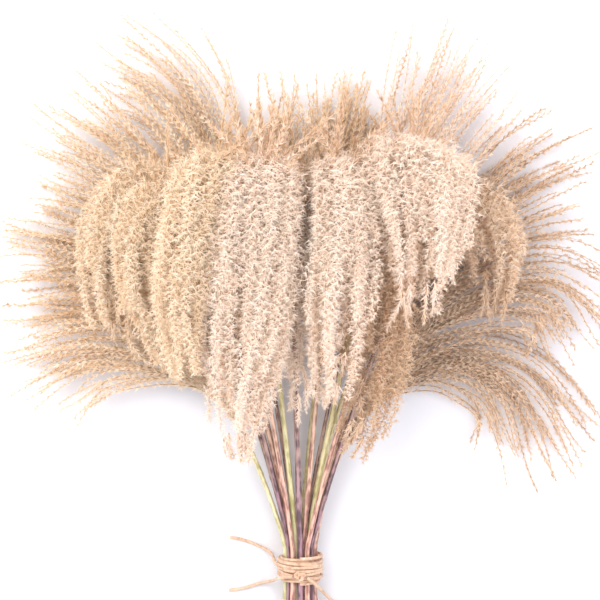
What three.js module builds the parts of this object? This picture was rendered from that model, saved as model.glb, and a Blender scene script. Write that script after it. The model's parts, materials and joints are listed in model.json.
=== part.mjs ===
// A tied bundle of dried silver-grass ("pampas") plumes, lying on a flat surface.
// Millimetres, +Z up. The cut ends point to -Y and the plumes fan out towards +Y.
// Every plant is one curve from its cut end, through the tie, to the tip of its plume: the stem is
// the first part of that curve and the plume is the rest. The sprays lie lowest, the falling plumes
// fold back over their own stems and lie on top.
import * as THREE from "three";

// ---- Driving dimensions ---------------------------------------------------------------------
const STEM_PITCH = 5.6; // centre distance of neighbouring stems where the twine packs them
const STEM_RADIUS = 2.55; // thickest stem, at the tie
const STEM_TIP_RADIUS = 1.8; // where the plume begins
const STEM_SIDES = 8;
const STEM_STEP = 26; // spacing of the rings along a stem

const TIE_AXIS_HEIGHT = 18; // the packed bunch's axis above the surface
const TIE_HALF_LENGTH = 11;
const TIE_BORE = 14.3;
const TIE_RADIUS = TIE_AXIS_HEIGHT; // the wrap rests on the surface
const TIE_CLEAR = 14; // stems run parallel this far each side of the tie's middle

const BUTT_LENGTH = 150; // from the tie's middle to the cut ends
const BUTT_STAGGER = 9; // the ends are cut unevenly by this much
const BUTT_SPREAD = 1.8; // how much wider the cut ends lie than the tied bunch
const BUTT_LIFT = 2.7; // height of the lowest row of cut ends

const PLUME_SIDES = 10;
const PLUME_RINGS = 14;
const PIECE_GAP = 0.4; // between a stem's end and its plume

const TWINE_RADIUS = 1.25;
const TWINE_SIDES = 8;
const TWINE_STEP = 6;

// ---- Finishes -------------------------------------------------------------------------------
const finish = (color, roughness) =>
  new THREE.MeshStandardMaterial({ color, roughness, metalness: 0 });
const FINISHES = {
  gold: finish(0xd9b98a, 0.95), // straw-gold plumes
  cream: finish(0xe6cdb4, 0.95), // pale, pinkish plumes
  tan: finish(0xd2ae88, 0.95), // browner plumes
  straw: finish(0xcfc48a, 0.6), // yellow-green stem
  plum: finish(0x7d5f66, 0.6), // stem dried to a dull purple
  rose: finish(0xc49a86, 0.6), // stem dried to a pinkish tan
  twine: finish(0xcfa377, 0.9),
};

// ---- The plants -----------------------------------------------------------------------------
// seat: [half-pitches across, rows up] in the hexagonal packing under the twine.
// top: where the stem ends.
// plume: the points that the plume follows, [x, y, z]. half: its half width and half thickness.
// form "spray": slender branches that spread; form "fall": soft, full and hanging back.
const PLANTS = [
  {
    name: "low_left", seat: [-4, 0], form: "spray", stem: "straw", finish: "gold",
    top: [-44, 104, 22.5],
    plume: [[-66, 136, 22.5], [-103, 158, 22.5], [-158, 166, 22], [-228, 140, 12]],
    half: [36, 6.3],
  },
  {
    name: "far_left", seat: [-3, -1], form: "spray", stem: "plum", finish: "gold",
    top: [-41, 128, 8],
    plume: [[-65, 172, 8], [-104, 206, 8], [-162, 230, 8], [-246, 238, 7]],
    half: [42, 6.3],
  },
  {
    name: "upper_left", seat: [-2, -2], form: "spray", stem: "rose", finish: "gold",
    top: [-34, 146, 22.5],
    plume: [[-56, 212, 22.5], [-92, 266, 22.5], [-142, 311, 22], [-214, 356, 12]],
    half: [43, 6.3],
  },
  {
    name: "top_left_arch", seat: [-1, -1], form: "spray", stem: "plum", finish: "gold",
    top: [-25, 166, 8],
    plume: [[-36, 235, 8], [-58, 300, 8], [-98, 368, 8], [-166, 416, 7]],
    half: [39, 6.3],
  },
  {
    name: "top_centre_left", seat: [0, 0], form: "spray", stem: "rose", finish: "gold",
    top: [-5, 176, 22.5],
    plume: [[-7, 240, 22.5], [-12, 300, 22.5], [-20, 386, 18]],
    half: [25, 6.3],
  },
  {
    name: "top_centre", seat: [0, -2], form: "spray", stem: "straw", finish: "gold",
    top: [15, 170, 8],
    plume: [[20, 240, 8], [27, 300, 8], [42, 392, 7]],
    half: [28, 6.3],
  },
  {
    name: "top_right", seat: [1, -1], form: "spray", stem: "plum", finish: "cream",
    top: [30, 160, 22.5],
    plume: [[54, 238, 22.5], [86, 308, 22.5], [148, 424, 12]],
    half: [44, 6.3],
  },
  {
    name: "upper_right", seat: [2, -2], form: "spray", stem: "straw", finish: "tan",
    top: [38, 144, 8],
    plume: [[74, 206, 8], [122, 256, 8], [178, 296, 8], [240, 324, 7]],
    half: [42, 6.3],
  },
  {
    name: "far_right", seat: [4, 0], form: "spray", stem: "rose", finish: "tan",
    top: [40, 124, 22.5],
    plume: [[80, 171, 22.5], [134, 206, 22.5], [192, 212, 21], [242, 158, 12]],
    half: [44, 6.3],
  },
  {
    name: "low_right", seat: [3, -1], form: "spray", stem: "rose", finish: "tan",
    top: [38, 100, 8],
    plume: [[68, 136, 8], [112, 156, 8], [162, 140, 8], [208, 58, 7]],
    half: [40, 6.3],
  },
  {
    name: "outer_left_fall", seat: [-3, 1], form: "fall", stem: "plum", finish: "gold",
    top: [-68, 236, 36],
    plume: [[-88, 268, 39], [-114, 284, 43], [-134, 260, 43], [-139, 214, 42], [-130, 162, 39]],
    half: [25, 11],
  },
  {
    name: "inner_left_fall", seat: [-2, 0], form: "fall", stem: "rose", finish: "gold",
    top: [-64, 240, 44],
    plume: [[-84, 266, 57], [-100, 274, 67], [-111, 250, 68], [-111, 206, 67], [-98, 150, 61]],
    half: [22, 11.5],
  },
  {
    name: "inner_right_fall", seat: [2, 0], form: "fall", stem: "straw", finish: "tan",
    top: [46, 226, 41],
    plume: [
      [49, 250, 44], [52, 263, 56], [55, 250, 67], [59, 216, 68],
      [56, 166, 67], [47, 124, 63], [35, 92, 57],
    ],
    half: [22, 11.5],
  },
  {
    name: "outer_right_fall", seat: [3, 1], form: "fall", stem: "plum", finish: "tan",
    top: [80, 222, 34],
    plume: [[104, 257, 37], [129, 272, 42], [145, 250, 43], [148, 200, 41]],
    half: [24, 11],
  },
  {
    name: "left_fall", seat: [-2, 2], form: "fall", stem: "rose", finish: "gold",
    top: [-48, 264, 49],
    plume: [
      [-54, 292, 58], [-63, 304, 76], [-72, 286, 93],
      [-81, 246, 94], [-86, 204, 93], [-82, 148, 86],
    ],
    half: [19, 13],
  },
  {
    name: "front_left_fall", seat: [-1, 1], form: "fall", stem: "straw", finish: "cream",
    top: [-26, 262, 50],
    plume: [
      [-24, 290, 58], [-25, 304, 76], [-27, 286, 93], [-32, 246, 94],
      [-37, 190, 92], [-43, 138, 86], [-50, 88, 74],
    ],
    half: [27, 13.5],
  },
  {
    name: "front_centre_fall", seat: [0, 2], form: "fall", stem: "plum", finish: "cream",
    top: [-5, 228, 43],
    plume: [[-5, 254, 46], [-5, 268, 57], [-4, 254, 67], [-3, 222, 68], [0, 180, 67], [6, 124, 62]],
    half: [18, 11.5],
  },
  {
    name: "centre_right_fall", seat: [1, 1], form: "fall", stem: "rose", finish: "cream",
    top: [24, 258, 50],
    plume: [[26, 288, 58], [27, 302, 76], [29, 284, 93], [30, 246, 94], [27, 196, 93], [22, 130, 84]],
    half: [20, 13.5],
  },
  {
    name: "front_right_fall", seat: [2, 2], form: "fall", stem: "rose", finish: "cream",
    top: [73, 266, 47],
    plume: [[78, 297, 56], [81, 313, 74], [84, 300, 92], [88, 268, 94], [88, 236, 93], [82, 190, 88]],
    half: [32, 13.5],
  },
];

// Free ends of the twine: down the wrap's flank and out along the surface.
const TWINE_TAILS = [
  {
    name: "twine_tail_left",
    route: [
      [-5.4, -3, 37], [-7.6, -3.4, 36.1], [-10.6, -4, 34.5], [-14, -5, 31.8],
      [-17.1, -6.4, 27.8], [-19.1, -8, 23.1], [-20.2, -9.6, 18], [-21.4, -11, 13],
      [-23.4, -12.3, 8.6], [-26.6, -13.6, 5], [-30.8, -15, 2.7], [-35.5, -16.6, 1.6],
      [-40.4, -18.2, 1.45], [-45.4, -19.4, 1.45], [-50.4, -20.2, 1.45], [-55.4, -20.8, 1.45],
    ],
  },
  {
    name: "twine_tail_right",
    route: [
      [5.4, -4.2, 37], [8.6, -6.6, 35.8], [11.6, -9.4, 34], [14.4, -12.6, 31.5],
      [17, -15.8, 28], [19.3, -19, 23.4], [21.1, -22, 18.2], [22.9, -24.8, 13],
      [25.3, -27.4, 8.4], [28.5, -30, 4.9], [32.3, -32.6, 2.6], [36.4, -35.2, 1.6],
      [40.6, -38.2, 1.45], [44.2, -41.8, 1.45], [47, -46, 1.45], [49, -50.6, 1.45],
    ],
  },
  {
    name: "twine_start",
    route: [
      [-19.7, 5, 21], [-20.2, 6.2, 17.6], [-20.7, 7.4, 14.2], [-21.5, 8.6, 10.9],
      [-22.9, 9.8, 7.9], [-25.1, 11, 5.3], [-28, 12.3, 3.4], [-31.3, 13.6, 2.2],
      [-34.7, 15, 1.6], [-38.2, 16.4, 1.45], [-41.6, 17.6, 1.45], [-44.9, 18.6, 1.45],
      [-48.2, 19.4, 1.45], [-51.4, 20, 1.45], [-54.6, 20.4, 1.45],
    ],
  },
];

// ---- Shapes ---------------------------------------------------------------------------------
const UP = new THREE.Vector3(0, 0, 1);
const vectors = (points) => points.map((p) => new THREE.Vector3(...p));

// Stations along a curve's control points first..last: a point and a direction every step or so.
function stationsAlong(curve, first, last, step) {
  const spans = curve.points.length - 1;
  const stations = [];
  for (let span = first; span < last; span++) {
    const length = curve.points[span].distanceTo(curve.points[span + 1]);
    const cuts = Math.max(1, Math.round(length / step));
    for (let cut = 0; cut < cuts; cut++) {
      stations.push(stationAt(curve, (span + cut / cuts) / spans));
    }
  }
  stations.push(stationAt(curve, last / spans));
  return stations;
}

function stationAt(curve, t) {
  return { point: curve.getPoint(t), direction: curve.getTangent(t) };
}

// Stations at even lengths between two control points of a curve, both ends included.
function evenStations(curve, first, last, count) {
  const fine = stationsAlong(curve, first, last, 2);
  const reach = [0];
  for (let i = 1; i < fine.length; i++) {
    const step = fine[i].point.distanceTo(fine[i - 1].point);
    reach.push(reach[i - 1] + step);
  }
  const total = reach[reach.length - 1];
  return Array.from({ length: count + 1 }, (_, k) => {
    const at = reach.findIndex((r) => r >= (total * k) / count - 1e-9);
    return fine[at];
  });
}

// Gives each station a side direction: level where the curve lies flat, and carried on from the
// station before where it climbs or drops.
function addSides(stations) {
  let side = new THREE.Vector3().crossVectors(stations[0].direction, UP).normalize();
  for (const station of stations) {
    const level = new THREE.Vector3().crossVectors(station.direction, UP);
    level.multiplyScalar(Math.sign(level.dot(side)) * level.lengthSq());
    side = level.addScaledVector(side, Math.abs(station.direction.z));
    side.addScaledVector(station.direction, -side.dot(station.direction)).normalize();
    station.side = side;
  }
  return stations;
}

// A lathe turned round a straight axis, then bent so that station k of its outline lies at stations[k].
// outline holds [station, radius] pairs; across and over scale the section sideways and upwards.
function bentLathe(outline, sides, stations, across = 1, over = 1) {
  const geometry = new THREE.LatheGeometry(
    outline.map(([, radius], row) => new THREE.Vector2(radius, row)),
    sides,
  );
  const position = geometry.getAttribute("position");
  const corner = new THREE.Vector3();
  const lift = new THREE.Vector3();
  for (let i = 0; i < position.count; i++) {
    corner.fromBufferAttribute(position, i);
    const { point, direction, side } = stations[outline[Math.round(corner.y)][0]];
    lift.crossVectors(side, direction);
    corner.set(corner.x * across, 0, corner.z * over);
    const placed = point.clone().addScaledVector(side, corner.x).addScaledVector(lift, corner.z);
    position.setXYZ(i, placed.x, placed.y, placed.z);
  }
  return geometry;
}

// Half-width of a spray at share s of its length: a fan that is widest past the middle, with a blunt end.
const sprayOutline = (s) => Math.sin(Math.PI * s ** 1.5) ** 0.6;
// Half-width of a falling plume: quickly full, and full almost to its tip.
const fallOutline = (s) => Math.sin(Math.PI * s) ** 0.45;

function named(name, geometry, material) {
  const mesh = new THREE.Mesh(geometry, material);
  mesh.name = name;
  return mesh;
}

// ---- Sub-parts ------------------------------------------------------------------------------
// The plant's whole curve, and the index of the control point where its stem ends.
function plantCurve(plant, index) {
  const [across, up] = plant.seat;
  const x = (across * STEM_PITCH) / 2;
  const lift = (up * STEM_PITCH * Math.sqrt(3)) / 2;
  const lowest = -STEM_PITCH * Math.sqrt(3);
  const butt = [
    x * BUTT_SPREAD,
    -BUTT_LENGTH + BUTT_STAGGER * Math.sin(index * 2.4),
    BUTT_LIFT + (lift - lowest) * 1.3,
  ];
  const stem = [
    butt,
    [x, -TIE_CLEAR, TIE_AXIS_HEIGHT + lift],
    [x, TIE_CLEAR, TIE_AXIS_HEIGHT + lift],
    plant.top,
  ];
  const curve = new THREE.CatmullRomCurve3(vectors([...stem, ...plant.plume]), false, "centripetal");
  return { curve, stemEnd: stem.length - 1 };
}

// A culm: it tapers from the tie to the plume and both ends are flat.
function makeStem(plant, index) {
  const { curve, stemEnd } = plantCurve(plant, index);
  const stations = addSides(stationsAlong(curve, 0, stemEnd, STEM_STEP));
  const thickness = 0.88 + 0.12 * Math.sin(index * 1.7);
  const last = stations.length - 1;
  const radiusAt = (k) => THREE.MathUtils.lerp(STEM_RADIUS, STEM_TIP_RADIUS, k / last) * thickness;
  const outline = stations.map((_, k) => [k, radiusAt(k)]);
  outline.unshift([0, 0]);
  outline.push([last, 0]);
  return named(`stem_${plant.name}`, bentLathe(outline, STEM_SIDES, stations), FINISHES[plant.stem]);
}

// A plume: the closed outer shape of its branches, flattened where the bundle lies on itself.
function makePlume(plant, index) {
  const { curve, stemEnd } = plantCurve(plant, index);
  const stations = addSides(evenStations(curve, stemEnd, curve.points.length - 1, PLUME_RINGS));
  stations[0].point = stations[0].point.clone().addScaledVector(stations[0].direction, PIECE_GAP);
  const outlineOf = plant.form === "spray" ? sprayOutline : fallOutline;
  const outline = stations.map((_, k) => {
    const inside = k > 0 && k < PLUME_RINGS;
    return [k, inside ? outlineOf(k / PLUME_RINGS) : 0];
  });
  const [halfWidth, halfThickness] = plant.half;
  const geometry = bentLathe(outline, PLUME_SIDES, stations, halfWidth, halfThickness);
  return named(`plume_${plant.name}`, geometry, FINISHES[plant.finish]);
}

// The turns of twine round the bunch, as one ring with a rounded outside.
function makeWrap() {
  const edge = TIE_RADIUS - 1;
  const outline = [
    [TIE_BORE, -TIE_HALF_LENGTH],
    [edge, -TIE_HALF_LENGTH],
    [TIE_RADIUS, -TIE_HALF_LENGTH + 1],
    [TIE_RADIUS, TIE_HALF_LENGTH - 1],
    [edge, TIE_HALF_LENGTH],
    [TIE_BORE, TIE_HALF_LENGTH],
    [TIE_BORE, -TIE_HALF_LENGTH],
  ];
  const corners = outline.map((corner) => new THREE.Vector2(...corner));
  const mesh = named("twine_wrap", new THREE.LatheGeometry(corners, 32), FINISHES.twine);
  mesh.position.z = TIE_AXIS_HEIGHT;
  return mesh;
}

// The knot: a flattened ball that sits on the wrap.
function makeKnot() {
  const [length, width, height] = [4.6, 3.6, 2.6];
  const mesh = named("twine_knot", new THREE.SphereGeometry(1, 12, 8), FINISHES.twine);
  mesh.scale.set(length, width, height);
  mesh.position.set(0, -2.5, TIE_AXIS_HEIGHT + TIE_RADIUS + height + 0.35);
  return mesh;
}

// A free end of twine: a plain round tube along its route.
function makeTail({ name, route }) {
  const curve = new THREE.CatmullRomCurve3(vectors(route));
  const circle = new THREE.EllipseCurve(0, 0, TWINE_RADIUS, TWINE_RADIUS);
  const section = new THREE.Shape(circle.getPoints(TWINE_SIDES).slice(1));
  const steps = Math.round(curve.getLength() / TWINE_STEP);
  const tube = new THREE.ExtrudeGeometry(section, { steps, bevelEnabled: false, extrudePath: curve });
  return named(name, tube, FINISHES.twine);
}

// ---- Assembly -------------------------------------------------------------------------------
const bunch = new THREE.Group();
PLANTS.forEach((plant, index) => bunch.add(makeStem(plant, index), makePlume(plant, index)));
bunch.add(makeWrap(), makeKnot());
TWINE_TAILS.forEach((tail) => bunch.add(makeTail(tail)));

// The bundle's own origin is the middle of its base: the point on the surface under its box's middle.
const box = new THREE.Box3().setFromObject(bunch, true);
const middle = box.getCenter(new THREE.Vector3());
bunch.position.set(-middle.x, -middle.y, -box.min.z);

const bundle = new THREE.Group();
bundle.add(bunch);

export default bundle;
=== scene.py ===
"""Looks for a lying bundle of dried plume grass, tied with jute twine.

Every piece takes the place of a CAD solid. The solid's rings give the piece its line and its section, and
the fine build of stalks, silky tufts and twisted twine follows them.
Metres, +Z up. The cut ends point to -Y and the plumes fan out towards +Y.
"""
import json
from types import SimpleNamespace

import bpy
import numpy as np
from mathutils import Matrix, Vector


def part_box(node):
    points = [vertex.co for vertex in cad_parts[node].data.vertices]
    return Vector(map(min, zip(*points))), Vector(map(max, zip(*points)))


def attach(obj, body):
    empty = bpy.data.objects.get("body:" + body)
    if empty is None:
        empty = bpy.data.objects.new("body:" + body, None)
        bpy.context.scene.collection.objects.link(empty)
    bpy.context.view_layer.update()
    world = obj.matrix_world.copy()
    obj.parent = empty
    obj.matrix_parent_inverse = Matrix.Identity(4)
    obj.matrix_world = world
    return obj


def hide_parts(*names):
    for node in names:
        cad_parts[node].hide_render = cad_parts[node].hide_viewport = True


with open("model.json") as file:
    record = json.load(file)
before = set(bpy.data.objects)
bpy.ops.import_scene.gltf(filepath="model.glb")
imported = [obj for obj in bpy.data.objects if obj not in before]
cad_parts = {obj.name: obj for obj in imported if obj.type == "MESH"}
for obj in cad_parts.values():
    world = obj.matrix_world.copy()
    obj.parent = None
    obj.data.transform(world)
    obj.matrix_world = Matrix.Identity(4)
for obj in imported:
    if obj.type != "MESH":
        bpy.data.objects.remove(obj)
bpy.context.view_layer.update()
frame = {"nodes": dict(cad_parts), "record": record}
MM = 0.001
UP = np.array([0.0, 0.0, 1.0])
TURN = 2 * np.pi


# ---- Camera --------------------------------------------------------------------------------------------
# The camera looks straight down on the plumes. The tie lies near the lower edge of its view.
tie_low, tie_high = (np.array(corner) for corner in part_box("twine_wrap"))
TIE = (tie_low + tie_high) / 2
VIEW_WIDTH = 450 * MM
VIEW_DISTANCE = 1040 * MM
VIEW_ABOVE_TIE = 206 * MM
PLUME_LEVEL = 45 * MM
SENSOR_WIDTH = 36

camera_data = bpy.data.cameras.new("camera")
camera_data.sensor_width = SENSOR_WIDTH
camera_data.lens = SENSOR_WIDTH * VIEW_DISTANCE / VIEW_WIDTH
camera_data.clip_start = 0.05
camera = bpy.data.objects.new("camera", camera_data)
camera.location = (TIE[0], TIE[1] + VIEW_ABOVE_TIE, PLUME_LEVEL + VIEW_DISTANCE)
bpy.context.scene.collection.objects.link(camera)
bpy.context.scene.camera = camera


# ---- Node helpers --------------------------------------------------------------------------------------
def linear(hex_colour):
    """An sRGB hex colour as linear red, green, blue and alpha 1."""
    srgb = np.array([int(hex_colour[i : i + 2], 16) / 255 for i in (1, 3, 5)])
    low = srgb / 12.92
    high = ((srgb + 0.055) / 1.055) ** 2.4
    return (*np.where(srgb <= 0.04045, low, high), 1.0)


def add(tree, kind, settings=None, links=None):
    """Adds a node. settings holds its properties and input values, links its inputs' sources."""
    node = tree.nodes.new(kind)
    for key, value in (settings or {}).items():
        if isinstance(key, str) and hasattr(node, key):
            setattr(node, key, value)
        else:
            node.inputs[key].default_value = value
    for key, source in (links or {}).items():
        tree.links.new(source, node.inputs[key])
    return node


def ramp(tree, source, stops):
    """A colour ramp over source, from {position: hex colour}."""
    node = add(tree, "ShaderNodeValToRGB", links={"Fac": source})
    band = node.color_ramp
    while len(band.elements) < len(stops):
        band.elements.new(0.5)
    for element, (position, colour) in zip(band.elements, sorted(stops.items())):
        element.position = position
        element.color = linear(colour)
    return node.outputs["Color"]


def noise(tree, vector, scale, detail):
    """A cloudy value, mostly near 0.5, with scale cells to each unit of vector."""
    node = add(tree, "ShaderNodeTexNoise", {"Scale": scale, "Detail": detail}, {"Vector": vector})
    return node.outputs["Fac"]


def stretched(tree, place, across, along):
    """A map place with its u multiplied by across and its v by along."""
    node = add(tree, "ShaderNodeMapping", {"Scale": (across, along, 1.0)}, {"Vector": place})
    return node.outputs["Vector"]


def blended(tree, first, second, share):
    """Two values added: share of the first, and the rest of the second."""
    rest = add(tree, "ShaderNodeMath", {"operation": "MULTIPLY", 1: 1 - share}, {0: second})
    both = add(
        tree, "ShaderNodeMath", {"operation": "MULTIPLY_ADD", 1: share}, {0: first, 2: rest.outputs[0]}
    )
    return both.outputs[0]


def turned_to(tree, colour, other, factor):
    """A colour that goes over to the hex colour other as factor goes from 0 to 1."""
    # A Mix node keeps its colours in inputs 6 and 7 and in output 2.
    node = add(tree, "ShaderNodeMix", {"data_type": "RGBA", 7: linear(other)}, {0: factor, 6: colour})
    return node.outputs[2]


def blank_material(name):
    """A material with only a Principled shader. Returns the material, its tree and the shader."""
    material = bpy.data.materials.new(name)
    material.use_nodes = True
    tree = material.node_tree
    return material, tree, tree.nodes["Principled BSDF"]


# ---- Materials -----------------------------------------------------------------------------------------
UV = "OFBake"


def dried_silk(name, stalk, deep, body, pale):
    """Dried seed silk of plume grass: fine cellulose hairs with a soft shine, which let light through.

    The map's u is a tuft's tone, from its stalk (0) through the shaded inside to the sunlit outside (1).
    Its v runs from a hair's root (0) to its tip (1), where the hair is thin and looks almost white.
    """
    material, tree, shader = blank_material(name)
    place = add(tree, "ShaderNodeUVMap", {"uv_map": UV})
    split = add(tree, "ShaderNodeSeparateXYZ", links={"Vector": place.outputs["UV"]})
    tone = ramp(tree, split.outputs["X"], {0.0: stalk, 0.08: stalk, 0.2: deep, 0.6: body, 1.0: pale})
    tip = add(tree, "ShaderNodeMapRange", {"From Min": 0.1, "To Max": 0.45}, {"Value": split.outputs["Y"]})
    colour = turned_to(tree, tone, pale, tip.outputs["Result"])
    tree.links.new(colour, shader.inputs["Base Color"])
    shader.inputs["Roughness"].default_value = 0.6
    shader.inputs["IOR"].default_value = 1.54
    # A hair is so thin that rather more light passes through it than comes off it.
    through = add(tree, "ShaderNodeBsdfTranslucent", links={"Color": colour})
    both = add(
        tree,
        "ShaderNodeMixShader",
        {0: 0.6},
        {1: shader.outputs["BSDF"], 2: through.outputs["BSDF"]},
    )
    tree.links.new(both.outputs[0], tree.nodes["Material Output"].inputs["Surface"])
    return material


def waxy_culm(name, root, middle, top, mark):
    """A dried grass culm: a waxy, ribbed stalk whose colour changes from root to top.

    u runs round the culm and v along it. Drying leaves stripes a few centimetres long and shorter flecks of
    a darker colour on the skin, and dulls its wax.
    """
    material, tree, shader = blank_material(name)
    place = add(tree, "ShaderNodeUVMap", {"uv_map": UV}).outputs["UV"]
    where = add(tree, "ShaderNodeTexCoord").outputs["Object"]
    split = add(tree, "ShaderNodeSeparateXYZ", links={"Vector": place})
    blotch = noise(tree, where, 45.0, 3.0)
    shift = add(tree, "ShaderNodeMath", {"operation": "MULTIPLY_ADD", 1: 0.5, 2: -0.25}, {0: blotch})
    height = add(
        tree, "ShaderNodeMath", {"operation": "ADD"}, {0: split.outputs["Y"], 1: shift.outputs[0]}
    )
    skin = ramp(tree, height.outputs[0], {0.0: root, 0.45: middle, 0.8: top, 1.0: top})
    streak = noise(tree, stretched(tree, place, 4.0, 6.0), 1.6, 4.0)
    fleck = noise(tree, stretched(tree, place, 3.0, 30.0), 1.3, 5.0)
    marked = add(
        tree,
        "ShaderNodeMapRange",
        {"From Min": 0.46, "From Max": 0.56, "To Min": 0.0, "To Max": 0.9},
        {"Value": blended(tree, streak, fleck, 0.55)},
    )
    colour = turned_to(tree, skin, mark, marked.outputs["Result"])
    tree.links.new(colour, shader.inputs["Base Color"])
    bump = add(tree, "ShaderNodeBump", {"Strength": 0.35, "Distance": 0.0002}, {"Height": streak})
    tree.links.new(bump.outputs["Normal"], shader.inputs["Normal"])
    shader.inputs["Roughness"].default_value = 0.55
    shader.inputs["IOR"].default_value = 1.48
    return material


def jute_yarn():
    """Jute twine: coarse bast fibre, matt and hairy, with pale fibres over brown hollows.

    u runs round the twine and v along it, by 1 for each TWINE_MAP_LENGTH.
    """
    material, tree, shader = blank_material("spun_jute")
    place = add(tree, "ShaderNodeUVMap", {"uv_map": UV}).outputs["UV"]
    where = add(tree, "ShaderNodeTexCoord").outputs["Object"]
    fibre = noise(tree, stretched(tree, place, 22.0, 60.0), 1.0, 5.0)
    grime = noise(tree, where, 260.0, 4.0)
    both = blended(tree, fibre, grime, 0.5)
    colour = ramp(tree, both, {0.3: "#a17d61", 0.45: "#c9a387", 0.56: "#dcbca1", 0.72: "#efdac7"})
    tree.links.new(colour, shader.inputs["Base Color"])
    bump = add(tree, "ShaderNodeBump", {"Strength": 0.6, "Distance": 0.0003}, {"Height": both})
    tree.links.new(bump.outputs["Normal"], shader.inputs["Normal"])
    shader.inputs["Roughness"].default_value = 0.85
    shader.inputs["IOR"].default_value = 1.5
    shader.inputs["Sheen Weight"].default_value = 0.2
    return material


def matt_floor():
    """A plain pale painted floor: matt emulsion with a very faint unevenness."""
    material, tree, shader = blank_material("pale_floor_paint")
    where = add(tree, "ShaderNodeTexCoord").outputs["Object"]
    colour = ramp(tree, noise(tree, where, 2.0, 2.0), {0.3: "#dcdce2", 0.7: "#e2e2e6"})
    tree.links.new(colour, shader.inputs["Base Color"])
    shader.inputs["Roughness"].default_value = 0.8
    return material


# Each silk's colours: its stalks, its shaded inside, its body and its sunlit outside.
SILKS = {
    "plume_gold": dried_silk("golden_dried_silk", "#c9a473", "#f4ddbc", "#fceedb", "#fff9ee"),
    "plume_cream": dried_silk("cream_dried_silk", "#ccab8a", "#f2d9b6", "#fef2e6", "#fffaf4"),
    "plume_tan": dried_silk("tan_dried_silk", "#ad8e70", "#dfc4a3", "#f3e0c9", "#fdf2e4"),
}
# Each culm's colours: its root, middle and top, and the marks on its skin.
CULMS = {
    "stem_straw": waxy_culm("yellow_green_culm", "#cfc088", "#dfd9aa", "#e2d5ac", "#aba267"),
    "stem_plum": waxy_culm("purple_culm", "#8a666a", "#a47f8a", "#bd9f90", "#4f3a42"),
    "stem_rose": waxy_culm("rose_tan_culm", "#c79a80", "#e3b5a2", "#e3c6aa", "#8c5d54"),
}
JUTE = jute_yarn()


# ---- Lines and frames ----------------------------------------------------------------------------------
def unit(vectors):
    """Vectors scaled to a length of 1."""
    return vectors / np.maximum(np.linalg.norm(vectors, axis=-1, keepdims=True), 1e-12)


def distances(line):
    """The distance along a line at each of its places."""
    return np.append(0, np.linalg.norm(np.diff(line, axis=0), axis=1).cumsum())


def smoothed_line(points, count):
    """A Catmull-Rom line through points, cut again at count places an even distance apart.

    Between two points it is the cubic whose slope at each point is half the step between its neighbours.
    """
    points = np.asarray(points, float)
    extended = np.vstack([2 * points[:1] - points[1:2], points, 2 * points[-1:] - points[-2:-1]])
    slope = (extended[2:] - extended[:-2]) / 2
    spans = len(points) - 1
    at = np.linspace(0, spans, 40 * spans + 1)
    k = np.minimum(at.astype(int), spans - 1)
    t = (at - k)[:, None]
    line = (
        (2 * t**3 - 3 * t**2 + 1) * points[k]
        + (t**3 - 2 * t**2 + t) * slope[k]
        + (3 * t**2 - 2 * t**3) * points[k + 1]
        + (t**3 - t**2) * slope[k + 1]
    )
    reach = distances(line)
    even = np.linspace(0, reach[-1], count)
    return np.stack([np.interp(even, reach, line[:, axis]) for axis in range(3)], 1)


def framed(line):
    """Directions along, beside and over each place on a line.

    Beside is square to the line and to the direction in which the line runs least. Over is square to both.
    """
    along = unit(np.gradient(line, axis=0))
    least = np.linalg.eigh(along.T @ along)[1][:, 0]
    beside = unit(np.cross(along, least))
    return along, beside, np.cross(beside, along)


def length_of(line):
    """A line's length, added up over its places."""
    return np.linalg.norm(np.diff(line, axis=0), axis=1).sum()


# ---- Reading the CAD solids ----------------------------------------------------------------------------
SAME_PLACE = 0.01 * MM  # vertices no further apart than about this are one
CUT_END = 6 * MM  # wider than a stem, and far shorter than the way to its next ring


def solid_of(node):
    """A CAD node's separate vertices and its edges, after its loose triangles are joined by place."""
    mesh = frame["nodes"][node].data
    co = np.empty(len(mesh.vertices) * 3, np.float32)
    mesh.vertices.foreach_get("co", co)
    corner = np.empty(len(mesh.loops), np.int32)
    mesh.loops.foreach_get("vertex_index", corner)
    _, first, same = np.unique(
        np.round(co.reshape(-1, 3) / SAME_PLACE).astype(int), axis=0, return_index=True, return_inverse=True
    )
    triangles = same.ravel()[corner].reshape(-1, 3)
    edges = np.vstack([triangles[:, [0, 1]], triangles[:, [1, 2]], triangles[:, [2, 0]]])
    return co.reshape(-1, 3)[first].astype(float), np.unique(np.sort(edges, 1), axis=0)


def rings_of(node, root=None):
    """A bent solid's rings from its root to its tip: ring k is k edges away from the root.

    The root is every vertex within CUT_END of the lowest in y, or, where a root is given, the pole nearest
    to it: a pole is one of the two vertices with the most edges.
    """
    places, edges = solid_of(node)
    if root is None:
        lowest = places[places[:, 1].argmin()]
        start = np.linalg.norm(places - lowest, axis=1) < CUT_END
    else:
        poles = np.argsort(np.bincount(edges.ravel()))[-2:]
        nearest = poles[np.linalg.norm(places[poles] - root, axis=1).argmin()]
        start = np.arange(len(places)) == nearest
    hop = np.where(start, 0, -1)
    step = 0
    while (hop < 0).any() and (hop == step).any():
        ends = edges[(hop[edges] == step).any(1)].ravel()
        hop[ends[hop[ends] < 0]] = step + 1
        step += 1
    return [places[hop == k] for k in range(hop.max() + 1)]


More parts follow.
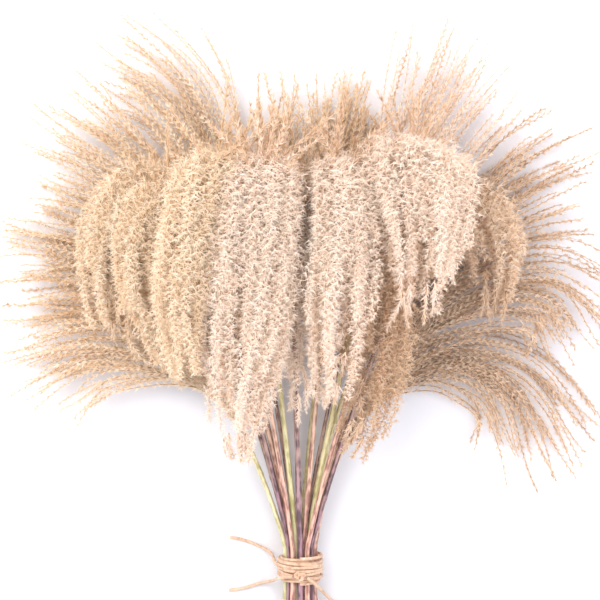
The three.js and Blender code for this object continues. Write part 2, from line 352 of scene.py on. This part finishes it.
def section_line(rings, count):
    """The line through a plume solid's rings, with its section's directions and size at each place.

    Beside is the direction in which a ring spreads most, turned round where it points back from the ring
    before; at the first ring it is to the right of the line. The half width and half thickness are how far
    a ring reaches beside and over its middle.
    """
    centres = np.array([ring.mean(0) for ring in rings])
    spread = np.array(rings[1:-1]) - centres[1:-1, None]
    beside = np.linalg.svd(spread, full_matrices=False)[2][:, 0]
    beside[1:] *= np.cumprod(np.sign((beside[1:] * beside[:-1]).sum(1)))[:, None]
    beside *= np.sign(np.cross(centres[1] - centres[0], UP) @ beside[0])
    wide = np.abs(np.einsum("kij,kj->ki", spread, beside)).max(1)
    over = np.cross(beside, unit(centres[2:] - centres[:-2]))
    thick = np.abs(np.einsum("kij,kj->ki", spread, over)).max(1)
    line = smoothed_line(centres, count)
    share = np.linspace(0, 1, count)
    reach = distances(centres)
    reach /= reach[-1]
    along = unit(np.gradient(line, axis=0))
    beside = np.stack([np.interp(share, reach[1:-1], beside[:, axis]) for axis in range(3)], 1)
    over = unit(np.cross(beside, along))
    return SimpleNamespace(
        at=line,
        along=along,
        beside=np.cross(along, over),
        over=over,
        wide=np.interp(share, reach, np.pad(wide, 1)),
        thick=np.interp(share, reach, np.pad(thick, 1)),
    )


# ---- Meshes --------------------------------------------------------------------------------------------
def mesh_piece(name, places, faces, maps, material, smooth=True):
    """A mesh object from vertex places, faces with the same number of corners and a map place per corner."""
    mesh = bpy.data.meshes.new(name)
    faces = np.asarray(faces, np.int32)
    corners = faces.shape[1]
    mesh.vertices.add(len(places))
    mesh.vertices.foreach_set("co", np.asarray(places, np.float32).ravel())
    mesh.loops.add(faces.size)
    mesh.loops.foreach_set("vertex_index", faces.ravel())
    mesh.polygons.add(len(faces))
    mesh.polygons.foreach_set("loop_start", np.arange(0, faces.size, corners, dtype=np.int32))
    layer = mesh.uv_layers.new(name=UV)
    layer.data.foreach_set("uv", np.asarray(maps, np.float32).ravel())
    mesh.update(calc_edges=True)
    mesh.polygons.foreach_set("use_smooth", np.full(len(faces), smooth))
    mesh.materials.append(material)
    piece = bpy.data.objects.new(name, mesh)
    bpy.context.scene.collection.objects.link(piece)
    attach(piece, "root")
    return piece


def corner_maps(*corners):
    """Map places of triangles, from the (u, v) of each triangle's first, second and third corner."""
    return np.stack([np.stack(np.broadcast_arrays(u, v), 1) for u, v in corners], 1)


def tube(line, section, along_map=(0, 1), round_map=(0, 1)):
    """A section carried along a line, closed by a pole at each end, as places, triangles and map.

    section gives, for each place on the line, the points of its outline as (beside, over) distances,
    in a turn from beside towards over.
    """
    rows, sides = section.shape[:2]
    _, beside, over = framed(line)
    wall = line[:, None] + section[..., :1] * beside[:, None] + section[..., 1:] * over[:, None]
    places = np.vstack([wall.reshape(-1, 3), line[:1], line[-1:]])
    row, side = np.meshgrid(np.arange(rows - 1), np.arange(sides), indexing="ij")
    a = row * sides + side
    b = row * sides + (side + 1) % sides
    quads = np.stack([a, b, b + sides, a + sides], -1).reshape(-1, 4)
    ring = np.arange(sides)
    after = (ring + 1) % sides
    root, tip = rows * sides, rows * sides + 1
    last = (rows - 1) * sides
    caps = np.vstack(
        [
            np.stack([np.full(sides, root), after, ring], 1),
            np.stack([np.full(sides, tip), last + ring, last + after], 1),
        ]
    )
    triangles = np.vstack([quads[:, [0, 1, 2]], quads[:, [0, 2, 3]], caps])
    v = np.interp(np.arange(rows), [0, rows - 1], along_map)
    u = np.interp(np.arange(sides + 1), [0, sides], round_map)
    u0, v0 = u[side].ravel(), v[row].ravel()
    u1, v1 = u[side + 1].ravel(), v[row + 1].ravel()
    inset = (v[1] - v[0]) * 0.5
    middle = (u[:-1] + u[1:]) / 2
    low = corner_maps((u0, v0), (u1, v0), (u1, v1))
    high = corner_maps((u0, v0), (u1, v1), (u0, v1))
    foot = corner_maps((middle, v[0] + inset), (u[1:], v[0]), (u[:-1], v[0]))
    head = corner_maps((middle, v[-1] - inset), (u[:-1], v[-1]), (u[1:], v[-1]))
    return places, triangles, np.vstack([low, high, foot, head])


def rounds(radius, sides):
    """A circle of the given radius for each place on a line."""
    turn = np.arange(sides) / sides * TURN
    return np.asarray(radius)[:, None, None] * np.stack([np.cos(turn), np.sin(turn)], 1)


def joined(parts):
    """Several (places, triangles, map) parts as one."""
    starts = np.cumsum([0] + [len(places) for places, _, _ in parts[:-1]])
    places = np.vstack([places for places, _, _ in parts])
    triangles = np.vstack([triangles + start for (_, triangles, _), start in zip(parts, starts)])
    return places, triangles, np.vstack([maps for _, _, maps in parts])


HAIR_CLEARANCE = 0.3 * MM


def above_floor(places, clear=HAIR_CLEARANCE):
    """Hairs that reach the surface are laid on it, and lines that sink to it run along just above it."""
    places[:, 2] = np.maximum(places[:, 2], clear)
    return places


# ---- Tufts of silk -------------------------------------------------------------------------------------
# On the map a hair is a sliver from its root up to its tip, at the u of its tone. Stalks lie below the silk.
SLIVER_HALF = 0.002
HAIR_ROOT = 0.02
HAIR_TIP = 0.98
SILK_TONES = (0.12, 0.98)
STALK_TONES = (0.01, 0.05)


def bipyramid(sides):
    """Two pyramids base to base: a pole at each end of the x axis, and faces that turn outwards."""
    turn = np.arange(sides) / sides * TURN
    belt = np.stack([np.zeros(sides), np.cos(turn), np.sin(turn)], 1)
    corners = np.vstack([[1, 0, 0], belt, [-1, 0, 0]])
    k = np.arange(sides)
    n = (k + 1) % sides
    front = np.stack([np.zeros_like(k), 1 + k, 1 + n], 1)
    back = np.stack([np.full_like(k, sides + 1), 1 + n, 1 + k], 1)
    return corners, np.vstack([front, back])


FULL_TUFT = bipyramid(4)
SLIM_TUFT = bipyramid(3)
EVEN_TURN = 2.39996  # the golden angle: steps of it spread evenly round a circle


def tufts(core, at, axis, tone, half_length, half_width, reach, lean, unevenness, rng):
    """Closed tufts of hairs: each face of a small long core is drawn out to the tip of one hair.

    A hair leaves its face at an angle from the tuft's axis that is lean[0] for faces at the front and
    lean[1] for faces at the back, give or take unevenness degrees, and it is about reach long.
    """
    corners, faces = core
    count = len(at)
    axis = unit(axis)
    beside = unit(np.cross(axis, unit(rng.normal(size=(count, 3)))))
    over = np.cross(axis, beside)
    basis = np.stack([axis, beside, over], 1)
    body = corners * [half_length, half_width, half_width]
    wall = at[:, None] + body @ basis
    middle = body[faces].mean(1)
    front = corners[faces].mean(1)[:, 0]
    angle = np.interp(front, [-0.8, 0.8], [lean[1], lean[0]])
    angle = np.radians(angle + rng.normal(0, unevenness, (count, len(faces))))
    out = unit(middle * [0, 1, 1])
    away = np.cos(angle)[..., None] * [1, 0, 0] + np.sin(angle)[..., None] * out
    away += rng.normal(0, 0.12, away.shape)
    long = reach[:, None, None] * rng.uniform(0.7, 1.25, (count, len(faces), 1))
    tips = at[:, None] + (middle + unit(away) * long) @ basis
    places = np.concatenate([wall, tips], 1)
    tip = len(corners) + np.arange(len(faces))
    a, b, c = faces.T
    shape = np.stack([np.stack([a, b, tip], 1), np.stack([b, c, tip], 1), np.stack([c, a, tip], 1)], 1)
    shape = shape.reshape(-1, 3)
    triangles = shape + (np.arange(count) * places.shape[1])[:, None, None]
    shade = np.clip(tone[:, None] + rng.normal(0, 0.07, (count, len(faces))), *SILK_TONES)
    shade = np.repeat(shade, 3, 1).ravel()
    maps = corner_maps((shade - SLIVER_HALF, HAIR_ROOT), (shade + SLIVER_HALF, HAIR_ROOT), (shade, HAIR_TIP))
    return places.reshape(-1, 3), triangles.reshape(-1, 3), maps


def along_line(line, values, share):
    """values, given at each place of a line, read at shares of its length."""
    at = np.clip(share, 0, 1) * (len(line) - 1)
    low = np.minimum(at.astype(int), len(line) - 2)
    part = (at - low).reshape(-1, *[1] * (values.ndim - 1))
    return values[low] * (1 - part) + values[low + 1] * part


# ---- Branches ------------------------------------------------------------------------------------------
BRANCH_PLACES = 61
BRANCH_CLEARANCE = 1.3 * MM


def branch_line(spine, start, stop, across, up, bend, wave, rng):
    """One branch of a plume: it leaves the spine at start and drifts to (across, up) of its section.

    At a share t of its way it has drifted by t^bend of that, and a slow sideways wave that grows with t
    is added to it.
    """
    t = np.linspace(0, 1, BRANCH_PLACES)
    share = start + (stop - start) * t
    grow = t**bend
    phase = rng.uniform(0, TURN, 2)
    turns = rng.uniform(0.6, 1.3, 2)
    sway = wave * t * np.sin(turns[0] * TURN * t + phase[0])
    lift = wave * t * np.sin(turns[1] * TURN * t + phase[1])
    centre = along_line(spine.at, spine.at, share)
    beside = along_line(spine.at, spine.beside, share)
    over = along_line(spine.at, spine.over, share)
    line = centre + (across * grow + sway)[:, None] * beside + (up * grow + lift)[:, None] * over
    return above_floor(line, BRANCH_CLEARANCE)


def main_stalk(spine, count, root, end):
    """A plume's middle stalk, five-sided, along the first count places of its spine.

    Its radius falls evenly from root to end, both in millimetres.
    """
    radius = np.linspace(root, end, count) * MM
    return tube(spine.at[:count], rounds(radius, 5), round_map=STALK_TONES)


def bare_stalk(line):
    """A branch's own stalk, three-sided, along every second place of its line."""
    radius = np.linspace(0.5, 0.2, len(line[::2])) * MM
    return tube(line[::2], rounds(radius, 3), round_map=STALK_TONES)


FEATHER_SPACING = 2.8 * MM


def feathered_branch(line, tone, rng, spacing, reach):
    """A slender branch with small tufts that alternate from one side to the other.

    The side on which they sit turns slowly round the branch, once in its length. Their silk grows shorter
    and deeper in tone towards its tip.
    """
    count = int(length_of(line) / spacing)
    where = (np.arange(count) + rng.uniform(0, 0.6, count)) / count
    along, beside, over = framed(line)
    flip = np.where(np.arange(count) % 2, 1.0, -1.0)[:, None]
    twist = rng.uniform(0, TURN) + where * TURN
    side = np.cos(twist)[:, None] * along_line(line, beside, where)
    side += np.sin(twist)[:, None] * along_line(line, over, where)
    taper = np.interp(where, [0, 0.3, 0.8, 1], [1.3, 1, 0.9, 0.6])
    silk = tufts(
        SLIM_TUFT,
        along_line(line, line, where) + 0.5 * MM * flip * side,
        along_line(line, along, where) + 0.42 * flip * side,
        tone - 0.15 * where + rng.normal(0, 0.1, count),
        half_length=1.5 * MM,
        half_width=0.36 * MM,
        reach=reach * taper * rng.uniform(0.75, 1.2, count),
        lean=(12, 34),
        unevenness=9,
        rng=rng,
    )
    return joined([bare_stalk(line), silk])


# ---- Falling plumes ------------------------------------------------------------------------------------
FALL_SPACING = 0.78 * MM
FALL_REACH = 6.4 * MM


def full_plume(spine, rng, branches, shade):
    """A falling plume: branches side by side through its whole section, thick with open silk.

    A branch keeps its place in the section, out and turn, from soon after the plume's root to its own tip.
    Its tufts wind round it in equal turns, a few millimetres off it, so the silk of neighbouring branches
    mingles. They come closer to it towards its tip, and it is bare at its root. Silk near the root is the
    oldest and deepest in tone.
    """
    parts = [main_stalk(spine, 90, root=1.1, end=0.4)]
    t = np.linspace(0, 1, BRANCH_PLACES)
    for k in range(branches):
        # Its place in the section, as a share of the way out and a turn, and where along the spine it ends.
        out = 0.45 + 0.55 * ((k + 0.5) / branches) ** 0.6
        turn = k * EVEN_TURN
        stop = 1 - 0.36 * rng.uniform() ** 1.2
        line = branch_line(spine, start=0.0, stop=stop, across=0.0, up=0.0, bend=1.0, wave=4 * MM, rng=rng)
        share = stop * t
        # It comes out to its place in the first tenth of its way, and goes a fifth further by its tip.
        grow = np.clip(t / 0.1, 0, 1) * (1 + 0.2 * t)
        wide = np.maximum(along_line(spine.at, spine.wide, share), 0.6 * spine.wide.max()) * grow
        thick = np.maximum(along_line(spine.at, spine.thick, share), 0.5 * spine.thick.max()) * grow
        beside = along_line(spine.at, spine.beside, share)
        over = along_line(spine.at, spine.over, share)
        line += (1.1 * out * np.cos(turn) * wide)[:, None] * beside
        line += (0.8 * out * np.sin(turn) * thick)[:, None] * over
        parts.append(bare_stalk(line))
        bare = rng.uniform(0.0, 0.1)
        count = int(length_of(line) * (1 - bare) / FALL_SPACING)
        where = bare + (1 - bare) * ((np.arange(count) + rng.uniform(0, 1, count)) / count) ** 1.25
        # Tufts sit at random distances off it, most of them near the usual one and a few much further.
        off = np.interp(where, [0, 0.55, 1], [2.9, 3.1, 1.4]) * MM * np.minimum(rng.rayleigh(1, count), 2.4)
        wind = rng.uniform(0, TURN) + np.arange(count) * EVEN_TURN
        at = along_line(line, line, where)
        at += (off * np.cos(wind))[:, None] * along_line(line, beside, where)
        at += (off * np.sin(wind))[:, None] * along_line(line, over, where)
        axis = along_line(line, unit(np.gradient(line, axis=0)), where)
        taper = np.interp(where, [0, 0.1, 0.6, 1], [0.7, 1, 0.95, 0.5])
        # Painted light and shade: silk is paler outside the plume and where that side faces up, darker
        # inside.
        lift = along_line(line, np.sin(turn) * over[:, 2], where)
        crown = np.interp(where, [0, 0.12, 0.3], [0.4, 0.25, 0])
        tone = shade + 0.22 * out + 0.12 * lift * out - crown + rng.normal(0, 0.07, count)
        parts.append(
            tufts(
                FULL_TUFT,
                at,
                axis + rng.normal(0, 0.38, axis.shape),
                tone,
                half_length=0.68 * MM,
                half_width=0.22 * MM,
                reach=FALL_REACH * taper * rng.uniform(0.7, 1.2, count),
                lean=(28, 78),
                unevenness=22,
                rng=rng,
            )
        )
    return joined(parts)


# Branches that stray from a fall's outline, over its bend and at its tip: how many, the shares of the spine
# at which they start, the spread of their turn aside in radians, their length in millimetres, their tone,
# and the distance between their tufts.
BEND_STRAYS = SimpleNamespace(
    count=22, starts=(0.05, 0.3), aside=0.6, length=(28, 70), tone=0.48, spacing=FEATHER_SPACING
)
TIP_STRAYS = SimpleNamespace(
    count=9, starts=(0.7, 0.94), aside=0.2, length=(14, 30), tone=0.72, spacing=0.55 * FEATHER_SPACING
)
STRAY_REACH = 4.8 * MM
STEM_WAY = 12  # so many places from a fall's root, its spine still runs the way the stem went


def stray_branches(spine, rng):
    """Slender branches that don't keep to the falling plume's outline.

    Those over its bend go on the way the stem went, and drift to one side of it as the square root of their
    way. Those at its tip start to one side and trail on. Each runs straight, turned aside by a few tens of
    degrees, rises a little and then sinks as the square of its way.
    """
    forward = unit((spine.at[STEM_WAY] - spine.at[0]) * [1, 1, 0])
    both = (BEND_STRAYS, TIP_STRAYS)
    starts = np.concatenate([rng.uniform(*kind.starts, kind.count) for kind in both])
    kinds = [kind for kind in both for _ in range(kind.count)]
    t = np.linspace(0, 1, 31)[:, None]
    parts = []
    for kind, share in zip(kinds, starts[:, None]):
        over_bend = kind is BEND_STRAYS
        away = forward if over_bend else along_line(spine.at, spine.along, share)[0]
        aside = rng.normal(0, kind.aside)
        away = away * np.cos(aside) + np.cross(UP, away) * np.sin(aside)
        length = rng.uniform(*kind.length) * MM
        side = along_line(spine.at, spine.beside, share) * rng.uniform(-0.7, 0.7)
        side *= along_line(spine.at, spine.wide, share)
        drift = t**0.5 if over_bend else 1.0
        line = along_line(spine.at, spine.at, share) + side * drift + away * length * t
        line += UP * (5 * t - 14 * t**2) * MM
        tone = kind.tone + rng.normal(0, 0.1)
        parts.append(feathered_branch(line, tone, rng, kind.spacing, STRAY_REACH))
    return joined(parts)


# ---- Sprays --------------------------------------------------------------------------------------------
# A spray's number of branches, how far they spread in half widths of its solid, and its silk's length.
SPRAYS = {
    "low_left": (44, 1.6, 4.2 * MM),
    "far_left": (76, 1.85, 4.2 * MM),
    "upper_left": (70, 1.75, 4.2 * MM),
    "top_left_arch": (38, 1.6, 4.2 * MM),
    "top_centre_left": (54, 1.5, 5.2 * MM),
    "top_centre": (54, 1.5, 5.2 * MM),
    "top_right": (44, 1.5, 4.4 * MM),
    "upper_right": (42, 1.5, 4.2 * MM),
    "far_right": (46, 1.5, 4.2 * MM),
    "low_right": (38, 1.6, 4.2 * MM),
}


def open_spray(spine, rng, branches, spread, reach):
    """A spray: slender branches that leave the spine low down and spread like fingers to separate tips."""
    parts = [main_stalk(spine, 60, root=1.2, end=0.5)]
    wide, thick = spine.wide.max(), spine.thick.max()
    for k in range(branches):
        out = ((k + 0.5) / branches) ** 0.6
        turn = k * EVEN_TURN
        line = branch_line(
            spine,
            start=rng.uniform(0.0, 0.4) * (1 - 0.5 * out),
            stop=1.0 - 0.14 * out**2 - rng.uniform(0, 0.2),
            across=spread * out * np.cos(turn) * wide * rng.uniform(0.8, 1.15),
            up=0.9 * out * np.sin(turn) * thick,
            bend=rng.uniform(0.75, 1.5),
            wave=5 * MM,
            rng=rng,
        )
        tone = 0.74 + rng.normal(0, 0.12)
        parts.append(feathered_branch(line, tone, rng, FEATHER_SPACING, reach))
    return joined(parts)


# ---- Building plumes -----------------------------------------------------------------------------------
SPINE_PLACES = 160
# The tone of a falling plume's inmost silk, with painted shade and light: lower where it hangs deep among
# the others, in their shade, and higher where it hangs outside them, in the light.
PAINTED_SHADE_FALL_TONES = {"inner_right_fall": 0.26, "outer_right_fall": 0.66}
USUAL_FALL_TONE = 0.54
# A fall has this many branches at a section of this size, in proportion at others, and within the limits.
USUAL_BRANCHES = 19
USUAL_SECTION = 20 * MM * 14 * MM
BRANCH_LIMITS = (12, 24)


def build_plume(name, slot, stem_end, seed):
    """A plume in place of its CAD solid: a full fall, or an open spray."""
    rng = np.random.default_rng(seed)
    spine = section_line(rings_of("plume_" + name, root=stem_end), SPINE_PLACES)
    if name.endswith("_fall"):
        area = spine.wide.max() * spine.thick.max() / USUAL_SECTION
        branches = int(np.clip(round(USUAL_BRANCHES * area), *BRANCH_LIMITS))
        # The inmost tone holds painted shade for a fall deep among the others, painted light for one outside
        # them.
        fall = full_plume(spine, rng, branches, PAINTED_SHADE_FALL_TONES.get(name, USUAL_FALL_TONE))
        places, triangles, maps = joined([fall, stray_branches(spine, rng)])
    else:
        places, triangles, maps = open_spray(spine, rng, *SPRAYS[name])
    piece = mesh_piece("silk_" + name, above_floor(places), triangles, maps, SILKS[slot], smooth=False)
    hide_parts("plume_" + name)


# ---- Stems ---------------------------------------------------------------------------------------------
STEM_PLACES = 260
STEM_SIDES = 14
CAP_RING = 4  # a ring with no more vertices than this is part of a cap
# How far joints and sheaths stand out, as shares of the radius, and their lengths as shares of the culm's.
SWELLING = 0.16
SWELLING_LENGTH = 0.006
SHEATH = 0.1
SHEATH_LENGTH = 0.13
PITH_DEPTH = 1.6 * MM


def build_stem(name, slot, seed):
    """A culm in place of its CAD solid: a round stalk with swollen joints, sheaths and a hollow cut end.

    Its radius tapers as the solid's does, with five low ribs as a cosine round it. Each joint adds a narrow
    bell curve, and the sheath above it adds a thin step that sinks to half of its height and ends about
    halfway to the next joint. Returns the culm's top end.
    """
    rng = np.random.default_rng(seed)
    rings = [ring for ring in rings_of("stem_" + name) if len(ring) > CAP_RING]
    centres = np.array([ring.mean(0) for ring in rings])
    radii = np.array([np.linalg.norm(ring - ring.mean(0), axis=1).max() for ring in rings])
    line = smoothed_line(centres, STEM_PLACES)
    share = np.linspace(0, 1, STEM_PLACES)
    radius = np.interp(share, np.linspace(0, 1, len(radii)), radii)
    joints = np.cumsum(rng.uniform(0.24, 0.36, 3)) + rng.uniform(-0.16, 0.05)
    for joint in joints:
        above = share - joint
        sheathed = (above > 0) & (above < SHEATH_LENGTH)
        radius = radius * (1 + SWELLING * np.exp(-((above / SWELLING_LENGTH) ** 2)))
        radius = radius * (1 + SHEATH * sheathed * (1 - above / (2 * SHEATH_LENGTH)))
    turn = np.arange(STEM_SIDES) / STEM_SIDES * TURN
    ribs = 1 + 0.035 * np.cos(5 * turn + rng.uniform(0, TURN))
    section = rounds(radius, STEM_SIDES) * ribs[None, :, None]
    places, triangles, maps = tube(line, section)
    # The cut end: the pith has shrunk, so its middle lies deeper than the rim.
    root_pole = len(places) - 2
    places[root_pole] += unit(line[1] - line[0]) * PITH_DEPTH
    piece = mesh_piece("culm_" + name, above_floor(places), triangles, maps, CULMS[slot])
    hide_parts("stem_" + name)
    return line[-1]


# ---- Twine ---------------------------------------------------------------------------------------------
TWINE_RADIUS = 1.25 * MM
TWINE_SIDES = 15
PLIES = 3
TWIST_LENGTH = 7 * MM
TWINE_MAP_LENGTH = 100 * MM


def twisted_section(line):
    """The outline of a twisted twine: a circle with a hollow between neighbouring plies.

    Its radius dips between plies as a power of a cosine's absolute value, and it turns once in TWIST_LENGTH.
    """
    reach = distances(line)
    turn = np.arange(TWINE_SIDES) / TWINE_SIDES * TURN
    twist = turn[None, :] - reach[:, None] / TWIST_LENGTH * TURN
    depth = 0.83 + 0.17 * np.abs(np.cos(PLIES * twist / 2)) ** 0.8
    return TWINE_RADIUS * depth[..., None] * np.stack([np.cos(turn), np.sin(turn)], 1)


def twine_part(line):
    """Twisted twine along a line."""
    return tube(line, twisted_section(line), along_map=(0, length_of(line) / TWINE_MAP_LENGTH))


def loose_fibres(line, count, rng):
    """Fine fibres that stand off the twine: each leaves its skin at a slant and bends as a square."""
    along, beside, over = framed(line)
    t = np.linspace(0, 1, 8)[:, None]
    parts = []
    for share, turn in zip(rng.uniform(0.01, 0.99, (count, 1)), rng.uniform(0, TURN, count)):
        out = np.cos(turn) * along_line(line, beside, share) + np.sin(turn) * along_line(line, over, share)
        run = along_line(line, along, share) * rng.choice([-1, 1])
        curl = unit(rng.normal(size=(1, 3)))
        length = rng.uniform(2, 6) * MM
        skin = along_line(line, line, share) + 0.85 * TWINE_RADIUS * out
        fibre = skin + length * (t * unit(run + 0.55 * out) + 0.35 * t**2 * curl)
        parts.append(tube(fibre, rounds(np.linspace(0.06, 0.03, 8) * MM, 3)))
    return joined(parts)


# The layers of the turns: how many turns, how many places on their line, and how deep the lower layer lies.
LOWER_TURNS = 8.6
LOWER_PLACES = 900
LOWER_DEPTH = 2.35 * MM
UPPER_TURNS = 6.5
UPPER_PLACES = 800
TURN_FIBRES = 260


def build_turns(seed):
    """The turns of twine round the stems: an even lower layer, and looser turns that cross over it.

    A turn's centre line is a circle round the bunch's axis whose place along the bunch creeps by about one
    twine width a turn. The upper turns also swing to and fro along the bunch as two sines of the angle.
    """
    rng = np.random.default_rng(seed)
    half = (tie_high[1] - tie_low[1]) / 2 - TWINE_RADIUS
    outer = (tie_high[2] - tie_low[2]) / 2
    angle = np.linspace(0, LOWER_TURNS * TURN, LOWER_PLACES)
    creep = np.linspace(-half, half, LOWER_PLACES)
    radius = outer - LOWER_DEPTH - TWINE_RADIUS + 0.12 * MM * np.sin(6 * angle)
    lower = np.stack([radius * np.sin(angle), creep, radius * np.cos(angle)], 1) + TIE
    angle = np.linspace(0, UPPER_TURNS * TURN, UPPER_PLACES)
    creep = np.linspace(half * 0.9, -half * 0.55, UPPER_PLACES)
    swing = 2.6 * MM * np.sin(angle * 0.5 + 0.8) + 0.9 * MM * np.sin(angle * 1.31)
    radius = outer - TWINE_RADIUS - 0.1 * MM - 0.25 * MM * (1 + np.sin(4.3 * angle)) / 2
    place = np.clip(creep + swing, -half, half)
    upper = np.stack([radius * np.sin(angle), place, radius * np.cos(angle)], 1) + TIE
    lead = TIE + np.array(LEAD_ROUTE) * MM
    lead = smoothed_line(np.vstack([lead, tail_route("twine_start")[:1]]), LEAD_PLACES)
    turns = [twine_part(line) for line in (lower, upper, lead)]
    places, triangles, maps = joined([*turns, loose_fibres(upper, TURN_FIBRES, rng)])
    piece = mesh_piece("jute_turns", above_floor(places), triangles, maps, JUTE)
    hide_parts("twine_wrap")


KNOT_PLACES = 220


def build_knot():
    """The tight knot on top of the turns: twine along a trefoil, flattened to the CAD knot's size."""
    low, high = (np.array(corner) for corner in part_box("twine_knot"))
    half = (high - low) / 2 - TWINE_RADIUS * np.array([0.9, 0.9, 0.95])
    t = np.linspace(0, TURN * 0.97, KNOT_PLACES)
    x = (np.sin(t) + 2 * np.sin(2 * t)) / 2.8
    y = (np.cos(t) - 2 * np.cos(2 * t)) / 2.8
    trefoil = np.stack([x, y, -np.sin(3 * t)], 1)
    piece = mesh_piece("jute_knot", *twine_part((low + high) / 2 + trefoil * half), JUTE)
    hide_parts("twine_knot")


# The first end comes out over the turns and runs down beside them to where its loose part begins. This route
# is in millimetres from the tie's middle.
LEAD_ROUTE = [[-3, 2.6, 16.4], [-8, 3, 15], [-12.4, 3.4, 12], [-16.4, 4, 8.2], [-18.9, 4.6, 5]]
LEAD_PLACES = 60
# Routes of the free ends, in millimetres from the tie's place on the surface.
TAIL_ROUTES = {
    "twine_tail_left": [
        [-5.4, -3, 37], [-7.6, -3.4, 36.1], [-10.6, -4, 34.5], [-14, -5, 31.8],
        [-17.1, -6.4, 27.8], [-19.1, -8, 23.1], [-20.2, -9.6, 18], [-21.4, -11, 13],
        [-23.4, -12.3, 8.6], [-26.6, -13.6, 5], [-30.8, -15, 2.7], [-35.5, -16.6, 1.6],
        [-40.4, -18.2, 1.45], [-45.4, -19.4, 1.45], [-50.4, -20.2, 1.45], [-55.4, -20.8, 1.45],
    ],
    "twine_tail_right": [
        [5.4, -4.2, 37], [8.6, -6.6, 35.8], [11.6, -9.4, 34], [14.4, -12.6, 31.5],
        [17, -15.8, 28], [19.3, -19, 23.4], [21.1, -22, 18.2], [22.9, -24.8, 13],
        [25.3, -27.4, 8.4], [28.5, -30, 4.9], [32.3, -32.6, 2.6], [36.4, -35.2, 1.6],
        [40.6, -38.2, 1.45], [44.2, -41.8, 1.45], [47, -46, 1.45], [49, -50.6, 1.45],
    ],
    "twine_start": [
        [-19.7, 5, 21], [-20.2, 6.2, 17.6], [-20.7, 7.4, 14.2], [-21.5, 8.6, 10.9],
        [-22.9, 9.8, 7.9], [-25.1, 11, 5.3], [-28, 12.3, 3.4], [-31.3, 13.6, 2.2],
        [-34.7, 15, 1.6], [-38.2, 16.4, 1.45], [-41.6, 17.6, 1.45], [-44.9, 18.6, 1.45],
        [-48.2, 19.4, 1.45], [-51.4, 20, 1.45], [-54.6, 20.4, 1.45],
    ],
}
TAIL_PLACES = 200


def tail_route(node):
    """A free end's route in the part's own frame."""
    return np.array(TAIL_ROUTES[node]) * MM + [TIE[0], TIE[1], 0]


def build_tail(node):
    """A free end of the twine along its route, with its cut end left bare."""
    route = tail_route(node)
    line = smoothed_line(route, TAIL_PLACES)
    piece = mesh_piece("jute_" + node, *twine_part(line), JUTE)
    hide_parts(node)


# ---- The bundle ----------------------------------------------------------------------------------------
PLUME_SEEDS = 100  # a plume's seed is its stem's and this
slot_of = {part["node"]: part["material_slot"] for part in frame["record"]["subparts"]}
for node in TAIL_ROUTES:
    build_tail(node)
build_turns(seed=5)
build_knot()
for seed, node in enumerate(sorted(frame["nodes"])):
    if node.startswith("stem_"):
        name = node.removeprefix("stem_")
        top = build_stem(name, slot_of[node], seed)
        build_plume(name, slot_of["plume_" + name], top, PLUME_SEEDS + seed)


# ---- Floor and light -----------------------------------------------------------------------------------
FLOOR_SIZE = 6.0
bpy.ops.mesh.primitive_grid_add(x_subdivisions=8, y_subdivisions=8, size=FLOOR_SIZE)
floor = bpy.context.active_object
floor.name = "floor"
floor.data.materials.append(matt_floor())


def area_light(name, place, size, watts, colour):
    """A square soft light that shines towards the middle of the plumes, from place measured from there."""
    data = bpy.data.lights.new(name, "AREA")
    data.size = size
    data.energy = watts
    data.color = linear(colour)[:3]
    light = bpy.data.objects.new(name, data)
    light.location = camera.location
    light.location.z = PLUME_LEVEL
    light.location.x += place[0]
    light.location.y += place[1]
    light.location.z += place[2]
    aim = np.array(place) / np.linalg.norm(place)
    light.rotation_euler = (np.arccos(aim[2]), 0, np.arctan2(aim[1], aim[0]) + np.pi / 2)
    bpy.context.scene.collection.objects.link(light)


area_light("key_light", place=(-0.9, 0.9, 1.6), size=1.6, watts=35, colour="#fff8f0")
area_light("fill_light", place=(1.3, -0.6, 1.4), size=1.8, watts=16, colour="#f8f8ff")

world = bpy.data.worlds.new("studio")
world.use_nodes = True
sky = world.node_tree.nodes["Background"]
sky.inputs["Color"].default_value = linear("#f4f6fb")
sky.inputs["Strength"].default_value = 1.25
bpy.context.scene.world = world
bpy.context.scene.view_settings.view_transform = "Standard"
